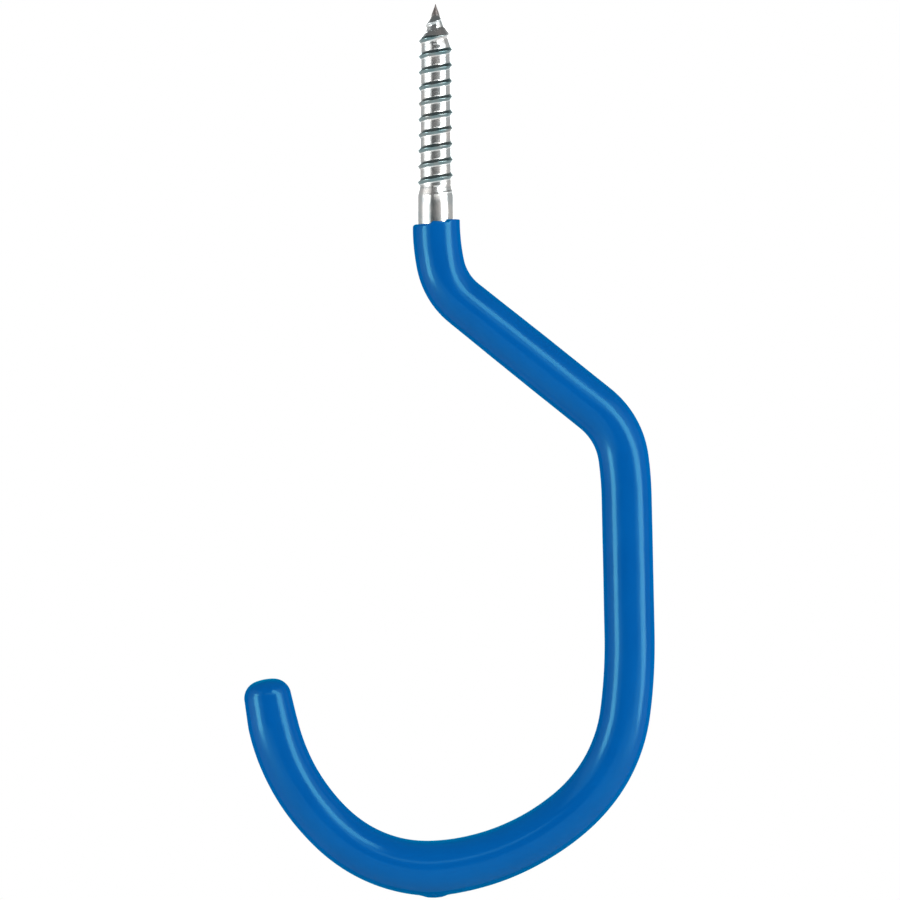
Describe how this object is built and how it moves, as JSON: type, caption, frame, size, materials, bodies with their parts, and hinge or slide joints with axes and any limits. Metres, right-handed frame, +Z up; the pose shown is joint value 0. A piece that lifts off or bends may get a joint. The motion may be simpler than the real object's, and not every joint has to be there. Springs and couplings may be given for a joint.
{
  "type": "bicycle storage hook",
  "caption": "Screw-in ceiling hook with a cranked steel rod and a soft vinyl coat, whose open bowl holds a bicycle by its wheel.",
  "frame": {"origin": "on the screw's axis at the dip line, where the coat's lip ends and the ceiling's face comes in use", "axes": "+Z up along the screw towards its point, +X towards the straight back, Y square to the hook's plane, the bowl's tip on the -X side"},
  "size_m": [0.0906, 0.0122, 0.197],
  "materials": {
    "zinc_plated_steel": "bright zinc plating, smooth on the shank and lightly tooled in the thread",
    "blue_vinyl": "glossy dipped vinyl, slightly uneven, with one drip under the bowl"
  },
  "bodies": {
    "root": {"steel_hook_rod": "zinc_plated_steel", "vinyl_coating": "blue_vinyl"}
  },
  "joints": []
}
